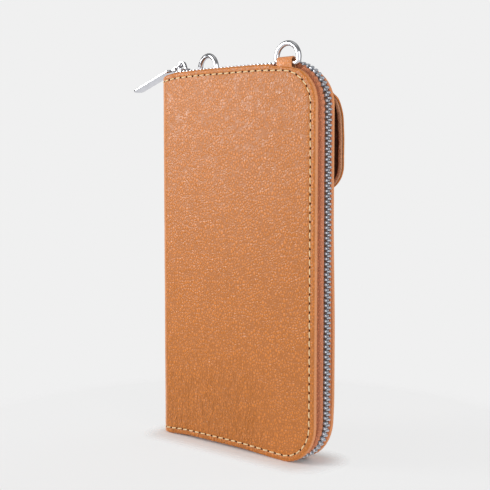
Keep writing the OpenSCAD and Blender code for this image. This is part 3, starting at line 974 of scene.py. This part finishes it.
DROP = atan2(PIN.z - KNUCKLE.z, PIN.x - KNUCKLE.x)
PULL_ALONG = Vector((-cos(DROP), 0, -sin(DROP)))
PULL_UP = Vector((-sin(DROP), 0, cos(DROP)))


def on_pull(base):
    """Places points along the pull, across it and above its middle."""

    def place(a, b, height):
        return base + PULL_ALONG * a + Vector((0, b, 0)) + PULL_UP * height

    return place


def link_shape():
    """Oval wire ring through the arch and the knuckle."""
    length = (PIN - KNUCKLE).length
    put = on_pull(PIN)
    half = 1.35
    reach = length / 2 + 0.1
    made = Shape()
    made.tube(
        [put(length / 2 + reach * boxy(c, 0.7), half * boxy(s, 0.7), 0) for c, s in circle(40)], 0.55,
        sides=12, turns=True,
    )
    return made


add_piece("link", link_shape(), chrome, "link", "pull_link")


def blade_shape():
    blade_low, blade_high = box_mm("pull_blade")
    half = blade_high.y
    length = (KNUCKLE.x - blade_low.x) / cos(DROP) - 0.3
    start = 2.9
    r = 2.4
    lower = [(start, -half + 1.0), (start + 1.0, -half)] + arc(length - r, -half + r, r, -90, 0, 8)
    outline = lower + [(x, -y) for x, y in reversed(lower)]
    put = on_pull(KNUCKLE)
    thick = 0.5
    body = plate(outline, -thick, thick, 0.28, put, crown=0.12)
    neck = plate(box_outline(0.9, start + 1.2, -0.8, 0.8), -0.42, 0.42, 0.15, put)
    knuckle = Shape()
    knuckle.tube(
        [put(0.35, y, 0) for y in (-0.85, -0.8, 0.8, 0.85)], [0.85, 1.05, 1.05, 0.85], sides=20,
    )
    return joined(body, neck, knuckle)


add_piece("blade", blade_shape(), chrome, "pull", "pull_blade")


# ---- D-rings and their leather loops ----


def ring_path():
    """D-shaped line, from its bar in the X direction up round its bow."""
    out = [(-RING_HALF + RING_BEND + 2 * (RING_HALF - RING_BEND) * k / 12, 0.0) for k in range(12)]
    out += arc(RING_HALF - RING_BEND, RING_BEND, RING_BEND, -90, 0, 8)[:-1]
    out += arc(0, RING_LEG, RING_HALF, 0, 180, 40)
    out += arc(-RING_HALF + RING_BEND, RING_BEND, RING_BEND, 180, 270, 8)[:-1]
    return out


def strip(line, half_width, thickness, place):
    """Leather strip along a line of two coordinates, wide across X."""
    edge, count = 0.25, 60
    rings = []
    outline = []
    for x_way, t_way, start in ((1, 1, 0), (-1, 1, 90), (-1, -1, 180), (1, -1, 270)):
        middle = x_way * (half_width - edge), t_way * (thickness / 2 - edge)
        outline += arc(*middle, edge, start, start + 90, 3)
    for k in range(count + 1):
        point, along = line.at(line.length * k / count)
        out = Vector((along[1], -along[0]))
        rings.append([place(x, *(point + out * t)) for x, t in outline])
    return lofted(rings)


for name, side, body, half_y, half_z in (
    ("front", -1, "front_half", 1.4, 1.95), ("back", 1, "back_half", 2.05, 1.4),
):
    bar = joint_place(name + "_ring_tilt")
    axis = Vector(joint(name + "_ring_tilt")["axis"])
    if axis.x < 0:
        axis = -axis
    upright = Vector((-axis.z, 0, axis.x)).normalized()
    wire = Shape()
    wire.tube(
        [bar + axis * (a + RING_SLIDE[name]) + upright * b for a, b in ring_path()], WIRE, sides=20,
        turns=True,
    )
    add_piece(name + "_d_ring", wire, chrome, name + "_ring", name + "_ring")

    mid = 0.38
    wide, tall = half_y + mid, half_z + mid
    turn_r = min(wide, tall)
    rise, reach = tall - turn_r, wide - turn_r
    tail_y = INNER - 0.5 - side * bar.y
    loop = (
        [(tail_y, -8.5), (tail_y, -4.5), (-wide + 0.25, -tall - 0.2), (-wide, -tall + 0.9)]
        + arc(-reach, rise, turn_r, 180, 90, 8)
        + arc(reach, rise, turn_r, 90, 0, 8)
        + [(wide, -tall + 0.9), (wide - 0.35, -tall - 0.4), (tail_y + 1.1, -4.8), (tail_y + 0.85, -8.5)]
    )
    tab_low, tab_high = box_mm(name + "_ring_tab")
    tab_x = (tab_low.x + tab_high.x) / 2

    def on_bar(x, y, z):
        return Vector((tab_x + x, side * y + bar.y, bar.z + z))

    made = strip(Line(rounded(loop, 2)), (tab_high.x - tab_low.x) / 2 - 0.05, 0.74, on_bar)
    add_piece(name + "_loop", made, hide, body, name + "_ring_tab")


# ---- Phone pocket on the back ----

pocket_low, pocket_high = box_mm("pocket_panel")
POCKET_R = 8.0
POCKET_T = pocket_high.y - pocket_low.y


def pocket_place(x, z, height, inset):
    swell = 0.25 * smooth(0, 24, inset) * smooth(pocket_high.z + 4, pocket_high.z - 40, z)
    return Vector((x, pocket_low.y + height - 0.25 + swell + 0.08 * ripple(x / 22, z / 30, 31.0), z))


piece = add_piece(
    "pocket_front",
    shell(
        (pocket_low.x, pocket_high.x, pocket_low.z, pocket_high.z), (1.5, 1.5, POCKET_R, POCKET_R),
        edge_profile(POCKET_T, 12.0, 0.5), pocket_place, step=2.0, depth=12.0,
    ),
    hide, "back_half", "pocket_panel",
)


def u_seam(left, right, low, top, radius):
    """Line inside the edges of a sheet: down one side, along the bottom and up the other side."""
    return (
        [(left + SEAM, top), (left + SEAM, low + radius)]
        + arc(left + radius, low + radius, radius - SEAM, 180, 270, 8)[1:]
        + arc(right - radius, low + radius, radius - SEAM, 270, 360, 8)
        + [(right - SEAM, top)]
    )


def on_pocket(p, height):
    return pocket_place(p[0], p[1], POCKET_T + height - 0.02, SEAM)


seam = u_seam(pocket_low.x, pocket_high.x, pocket_low.z, pocket_high.z - 1, POCKET_R)
mouth = [(pocket_low.x + SEAM, pocket_high.z - 3.2), (pocket_high.x - SEAM, pocket_high.z - 3.2)]
sew("pocket_stitches", [(seam, on_pocket), (mouth, on_pocket)], "back_half", "pocket_stitch_hole_shade")


def gusset_shape():
    """Pleated wall round the two sides and the bottom of the pocket."""
    inset = 0.6
    levels = (pocket_high.z - 0.6, pocket_high.z - 40, 90, 50, 20)
    path = [(pocket_low.x + inset, z, -1.0, 0.0) for z in levels]
    centre_z, reach = pocket_low.z + POCKET_R, POCKET_R - inset
    for centre_x, start in ((pocket_low.x + POCKET_R, 180), (pocket_high.x - POCKET_R, 270)):
        for a in range(start, start + 91, 10):
            out_x, out_z = cos(radians(a)), sin(radians(a))
            path.append((centre_x + reach * out_x, centre_z + reach * out_z, out_x, out_z))
    path += [(pocket_high.x - inset, z, 1.0, 0.0) for z in reversed(levels)]
    base, top = HALF - 0.1, pocket_low.y + 0.2
    pleat = (top - base) / 4
    outer = [
        (0.3, base), (0.2, base + 0.5 * pleat), (-0.5, base + 1.3 * pleat), (-1.0, base + 2 * pleat),
        (-0.5, base + 2.7 * pleat), (0.2, base + 3.5 * pleat), (0.3, top),
    ]
    profile = outer + [(rise - 0.7, depth) for rise, depth in reversed(outer)]
    return swept(profile, path, 1)


add_piece("gusset", gusset_shape(), band_hide, "back_half", "pocket_gusset")


# ---- Flap ----

flap_low, flap_high = box_mm("flap_leather", "flap_lining")
root_low, root_high = box_mm("flap_root")
flap_fold = joint_place("flap_lift")
FLAP_OUT = flap_high.y
FLAP_BEND = 37.8
FLAP_ARC_Z = 158.0
FLAP_R = 13.0


def flap_line():
    """Middle line of the outer face in Y and Z, from the sewn strip down to the lower edge."""
    start = atan2(flap_fold.z - FLAP_ARC_Z, flap_fold.y - FLAP_OUT + FLAP_BEND)
    bow = arc(FLAP_OUT - FLAP_BEND, FLAP_ARC_Z, FLAP_BEND, degrees(start), 0, 14)
    top = [
        (root_low.y + 1.35, root_high.z), (root_low.y + 1.35, root_high.z - 4),
        (root_low.y + 1.4, 184.6),
    ]
    full = [(y + 1.3 * smooth(162, 173, z) * smooth(184, 176, z), z) for y, z in bow]
    return Line(rounded(top + full + [(FLAP_OUT, flap_low.z)], 2))


flap = flap_line()
FLAP_L = flap.length


def flap_place(under):
    """Places points of the flap, whose Z is the length along it from the lower edge.

    under is the depth below the outer face.
    """

    def place(x, down, height, inset):
        point, along = flap.at(FLAP_L - down)
        out = Vector((-along[1], along[0]))
        rise = max(point[1] - HEIGHT + CORNER, 0)
        corner = RIGHT - CORNER + sqrt(CORNER**2 - rise**2) - 0.7 - 2.4 * smooth(176, 185, point[1])
        share = (corner - flap_low.x) / (flap_high.x - flap_low.x)
        x = flap_low.x + (x - flap_low.x) * min(share, 1)
        wave = 0.22 * ripple(x / 14, down / 16, 41.0) * smooth(flap_fold.z, flap_fold.z - 12, point[1])
        return Vector((x, *(point + out * (height - under + wave))))

    return place


FLAP_BLEND = (
    "back_half", "flap", (0, flap_fold.y, flap_fold.z + 1.6), (0, flap_fold.y, flap_fold.z - 4.0),
)
FLAP_RECT = (flap_low.x, flap_high.x, 0.0, FLAP_L)


def flap_shell(rect, profile, place):
    return shell(rect, (1.0, 1.0, FLAP_R, FLAP_R), profile, place, step=1.0, depth=FLAP_R)


made = flap_shell(FLAP_RECT, edge_profile(1.0, FLAP_R, 0.42, rows=13), flap_place(1.0))
piece = add_piece("flap_hide", made, hide, FLAP_BLEND, "flap_leather", "flap_root")
lining_rect = (flap_low.x + 0.3, flap_high.x - 0.25, 0.3, FLAP_L - 7.5)
made = flap_shell(lining_rect, edge_profile(0.6, FLAP_R, 0.28, rows=13), flap_place(1.62))
# Its darker cloth is painted shade under the flap.
piece = add_piece("flap_lining_shaded_cloth", made, flap_lining_shade, FLAP_BLEND, "flap_lining")
wide, high = lining_rect[1] - lining_rect[0], lining_rect[3] - lining_rect[2]

HEM = [
    (0.0, -0.5), (0.25, -1.15), (1.1, -1.35), (2.0, -0.95), (2.4, -0.2), (1.6, 0.3), (0.4, 0.35),
    (0.0, -0.5),
]


def hem_place(x, down, height, inset):
    point, _ = flap.at(FLAP_L - down)
    thick = smooth(flap_fold.z + 1, flap_fold.z - 8, point[1])
    ragged = 1 + 0.35 * ripple(x / 2.5, down / 2.5, 83.0)
    return flap_place(1.62)(x, down, height * thick * ragged if height < 0 else height, inset)


add_piece("flap_hem", flap_shell(FLAP_RECT, HEM, hem_place), cut_edge, FLAP_BLEND)


def on_flap(p, height):
    return flap_place(0.0)(p[0], p[1], height - 0.02, SEAM)


flap_seam = u_seam(flap_low.x, flap_high.x, 0.0, FLAP_L - 9, FLAP_R)
root_seam = [(flap_low.x + SEAM, FLAP_L - 3.0), (flap_high.x - SEAM, FLAP_L - 3.0)]
sew("flap_stitches", [(flap_seam, on_flap)], FLAP_BLEND, "flap_stitch_hole_shade")
sew("flap_root_stitches", [(root_seam, on_flap)], "back_half", "flap_root_holes")


# ---- Snap ----

cap_low, cap_high = box_mm("snap_cap")
SNAP = Vector(((cap_low.x + cap_high.x) / 2, 0, (cap_low.z + cap_high.z) / 2))


def snap_place(a, b, height):
    return Vector((SNAP.x + a, height, SNAP.z + b))


socket_low, socket_high = box_mm("snap_socket")
stud_low, stud_high = box_mm("snap_stud")
top = cap_high.y
seat = cap_low.y
cap = [(0.01, seat), (5.6, seat), (5.95, seat + 0.15), (5.9, seat + 0.4), (5.4, seat + 0.62)]
cap += [(4.9, seat + 0.6), (4.5, seat + 0.72), (3, top - 0.08), (1.5, top), (0.01, top)]
add_piece("cap", turned(cap, snap_place), chrome, "flap", "snap_cap")
base = socket_high.y
ring = [(2.2, base), (5.1, base), (5.2, base - 0.2), (5.0, base - 0.5), (4.2, base - 0.55)]
lip = socket_low.y
ring += [(3.9, lip + 0.05), (3.2, lip), (2.6, lip + 0.05), (2.2, lip + 0.25)]
add_piece("socket", turned(ring, snap_place, ring=True), chrome, "flap", "snap_socket")
foot = stud_low.y
stud = [
    (0.01, foot), (4.7, foot), (5.0, foot + 0.15), (4.9, foot + 0.4), (4.0, foot + 0.6),
    (2.2, foot + 0.62),
]
head = stud_high.y
stud += [(1.55, foot + 0.75), (1.75, head - 0.25), (1.6, head - 0.05), (0.8, head), (0.01, head)]
add_piece("stud", turned(stud, snap_place), chrome, "back_half", "snap_stud")


# ---- Inside: slip pocket, card slots and coin pocket ----


def panel(
    name, node, look, body, face, thickness, rect=None, radii=(1, 1, 1, 1), seed=0.0, gone=True,
):
    """Thin sheet in the place of a flat CAD node. face is -1 or 1, the way its shown side looks."""
    low, high = box_mm(node)
    rect = rect or (low.x, high.x, low.z, high.z)
    back = high.y if face < 0 else low.y

    def place(x, z, height, inset):
        wave = 0.1 * ripple(x / 20, z / 14, seed) * smooth(0, 8, inset)
        height = max(height + wave * (height > 0.2), 0)
        return Vector((x, back + face * min(height, thickness * 1.2), z))

    piece = add_piece(
        name, shell(rect, radii, edge_profile(thickness, 4.0, 0.25, 3), place, step=3.0, depth=4.0),
        look, body, *([node] if gone else []),
    )


panel("slip_cloth", "slip_pocket", lining, "front_half", 1, 0.4)
for number in range(1, 9):
    panel(
        f"card_pocket_{number}", f"card_slot_{number}", slot_hide, "front_half", 1, 0.5,
        radii=(2.5, 2.5, 1, 1), seed=51.0 + number,
    )

CREASE_DROP = 1.6
# Painted shade: dark thin lines below the pocket tops that stand for the shade of their creases.
crease_shade_lines = Shape()
for number in range(1, 9):
    low, high = box_mm(f"card_slot_{number}")
    face_y = high.y + 0.01
    crease_shade_lines.tube(
        [
            (low.x + 1.5 + (high.x - low.x - 3) * k / 12, face_y, high.z - CREASE_DROP)
            for k in range(13)
        ],
        0.14, sides=6, squash=0.5,
    )
add_piece("card_pocket_crease_shade", crease_shade_lines, (hole_shade[0], "slot_hide"), "front_half")

bank_rows = []
for node in ("card_slot_4", "card_slot_8"):
    low, high = box_mm(node)

    def on_bank(p, height, face_y=high.y + 0.02):
        return Vector((p[0], face_y + height, p[1]))

    for x in (low.x + 1.6, high.x - 1.6):
        bank_rows.append(([(x, low.z + 1.5), (x, high.z - 1)], on_bank))
    bank_rows.append(([(low.x + 2.5, low.z + 1.6), (high.x - 2.5, low.z + 1.6)], on_bank))
sew("card_pocket_stitches", bank_rows, "front_half", **FINE_STITCH)

coin_low, coin_high = box_mm("coin_pocket_panel")
coin_tape = box_mm("coin_zip_tape")
coin_t = coin_high.y - coin_low.y
below = (coin_low.x, coin_high.x, coin_low.z, coin_tape[0].z)
above = (coin_low.x, coin_high.x, coin_tape[1].z, coin_high.z)
for name, rect, seed in (("coin_panel", below, 71.0), ("coin_strip", above, 72.0)):
    panel(
        name, "coin_pocket_panel", slot_hide, "back_half", -1, coin_t, rect=rect,
        seed=seed, gone=name == "coin_panel",
    )


mid_z = (coin_tape[0].z + coin_tape[1].z) / 2


def tape_half(low, high):
    """One half of the coin zip's tape."""
    rect = (coin_low.x + 0.4, coin_high.x - 0.4, low, high)
    thickness, corner, depth = 0.35, 0.5, 1.0

    def place(x, z, height, inset):
        return Vector((x, coin_low.y + 0.18 + height, z))

    profile = edge_profile(thickness, depth, 0.12, 2)
    return shell(rect, (corner,) * 4, profile, place, step=3.0, depth=depth)


tape_pair = joined(
    tape_half(coin_tape[0].z - 0.8, mid_z - 0.3), tape_half(mid_z + 0.3, coin_tape[1].z + 0.8),
)
add_piece("coin_tape", tape_pair, tape_cloth, "back_half", "coin_zip_tape")


def coin_place(a, b, height):
    return Vector((a, height, mid_z + b))


row_low, row_high = box_mm("coin_zip_teeth")
coin_teeth = Shape()
fine, half = 1.7, 0.38
for k in range(floor((row_high.x - row_low.x) / fine)):
    for way in (-1, 1):
        x = row_low.x + (k + (0.5 if way < 0 else 1.0)) * fine
        outline = box_outline(x - half, x + half, way * 1.5, -way * 0.2)
        if way > 0:
            outline.reverse()
        coin_teeth.take(plate(outline, row_low.y, row_high.y, 0.14, coin_place, steps=2))
add_piece("coin_teeth", coin_teeth, tooth_metal, "back_half", "coin_zip_teeth")


def on_coin_panel(p, height):
    return Vector((p[0], coin_low.y - 0.02 - height, p[1]))


coin_rows = [
    ([(coin_low.x + 2, z), (coin_high.x - 2, z)], on_coin_panel)
    for z in (coin_tape[0].z - 1.6, coin_tape[1].z + 1.6)
]
sew("coin_stitches", coin_rows, "back_half", **FINE_STITCH)

# ---- CAD nodes that stay ----

for names, look in (
    (("front_board", "back_board"), board), (("coin_pocket_bag",), lining),
    (("coin_zip_stops", "coin_zip_slider", "coin_zip_pull"), chrome),
):
    for name in names:
        mesh = frame["nodes"][name].data
        mesh.materials.clear()
        mesh.materials.append(look[0])


# ---- Studio ----


def studio_floor():
    """Pale round floor that fades into the backdrop."""
    sizes = (0.1, 60, 120, 240, 400, 600, 900)
    made = lofted([[Vector((radius * c, radius * s, 0)) for c, s in circle(64)] for radius in sizes])
    mesh = bpy.data.meshes.new("floor")
    mesh.from_pydata([p * MM for p in made.points], [], [f for f in made.faces if len(f) == 4])
    linked("floor", mesh)
    paint = Paint("floor_paint", 0.9, specular=0.1)
    away = paint.add("ShaderNodeVectorMath", {0: paint.place}, operation="LENGTH").outputs["Value"]
    place = paint.split()

    def outside(axis, reach):
        return paint.math("MAXIMUM", paint.math("SUBTRACT", paint.math("ABSOLUTE", place[axis]), reach))

    beside, behind = outside("X", 44.0), outside("Y", 5.0)
    square = paint.math("MULTIPLY", behind, behind)
    off = paint.math("SQRT", paint.math("MULTIPLY_ADD", beside, beside, square))
    grain = paint.noise(0.01, 2.0)
    paint.colour(paint.mix(paint.spread(grain, 0.3, 0.7), shade(FLOOR, 0.985), FLOOR))
    share = paint.math("MAXIMUM", paint.spread(off, 3, 20, 0.04, 0.88), paint.spread(away, 70, 190))
    clear = paint.add("ShaderNodeBsdfTransparent", {}).outputs[0]
    inputs = {0: share, 1: paint.shader.outputs[0], 2: clear}
    blend = paint.add("ShaderNodeMixShader", inputs).outputs[0]
    paint.tree.links.new(blend, paint.tree.nodes["Material Output"].inputs["Surface"])
    mesh.materials.append(paint.material)


def lamp(name, place, target, size, power, mirrored=True):
    data = bpy.data.lights.new(name, "AREA")
    data.shape = "RECTANGLE"
    data.size, data.size_y = size
    data.energy = power
    made = linked(name, data)
    made.visible_glossy = mirrored
    made.location = place
    made.rotation_euler = (Vector(target) - Vector(place)).to_track_quat("-Z", "Y").to_euler()


def backdrop():
    """Even pale surroundings for the camera.

    Leather and metal see a studio that is dark high up and near the horizon at the left rear.
    """
    world = bpy.data.worlds.new("studio")
    bpy.context.scene.world = world
    world.use_nodes = True
    tree = world.node_tree
    tree.nodes.clear()

    def node(kind, inputs, **settings):
        return wired(tree, kind, inputs, **settings).outputs

    def math(operation, *values):
        return node("ShaderNodeMath", dict(enumerate(values)), operation=operation)[0]

    direction = node("ShaderNodeTexCoord", {})["Generated"]
    height = node("ShaderNodeSeparateXYZ", {0: direction})["Z"]
    ramp = wired(tree, "ShaderNodeValToRGB", {0: height})
    elements = ramp.color_ramp.elements
    elements[0].position = 0.0
    elements[0].color = (1.05, 1.05, 1.08, 1)
    elements[1].position = 0.45
    elements[1].color = (1.0, 1.0, 1.02, 1)
    for position, grey in ((0.55, 0.36), (0.8, 0.26), (1.0, 0.8)):
        elements.new(position).color = (grey, grey, grey, 1)
    toward = node("ShaderNodeVectorMath", {0: direction, 1: (-0.66, 0.75, 0)}, operation="DOT_PRODUCT")
    dim = node("ShaderNodeMapRange", {"Value": toward["Value"], "From Min": -0.1, "From Max": 0.3})[0]
    level = math("MULTIPLY", math("COMPARE", height, 0.12, 0.36), 0.72)
    strength = math("SUBTRACT", 0.74, math("MULTIPLY", dim, level))
    around = node("ShaderNodeBackground", {"Color": ramp.outputs[0], "Strength": strength})
    seen = node("ShaderNodeBackground", {"Color": (*FLOOR, 1)})
    rays = node("ShaderNodeLightPath", {})
    both = node("ShaderNodeMixShader", {0: rays["Is Camera Ray"], 1: around[0], 2: seen[0]})
    node("ShaderNodeOutputWorld", {"Surface": both[0]})


def camera():
    """Camera to the right of the front, a little above the middle."""
    turn, pitch = radians(41.5), radians(4.45)
    back = Vector((sin(turn) * cos(pitch), -cos(turn) * cos(pitch), sin(pitch)))
    right = Vector((cos(turn), sin(turn), 0))
    target = right * 1.77 + Vector((0, 0, 105.17))
    away = 516.4
    data = bpy.data.cameras.new("camera")
    data.lens = 73.73
    data.sensor_width = 36
    data.clip_start = 0.01
    made = linked("camera", data)
    made.location = (target + back * away) * MM
    made.rotation_euler = back.to_track_quat("Z", "Y").to_euler()
    bpy.context.scene.camera = made


studio_floor()
backdrop()
lamp("key", (-0.68, -0.63, 0.36), (0, 0, 0.14), (0.34, 0.34), 7.0)
lamp("side", (0.95, -0.35, 0.35), (0, 0, 0.1), (0.5, 0.8), 3.5)
lamp("rear", (0.3, 0.9, 0.6), (0, 0, 0.1), (0.8, 0.6), 4.0, mirrored=False)
camera()
bpy.context.scene.view_settings.view_transform = "Standard"
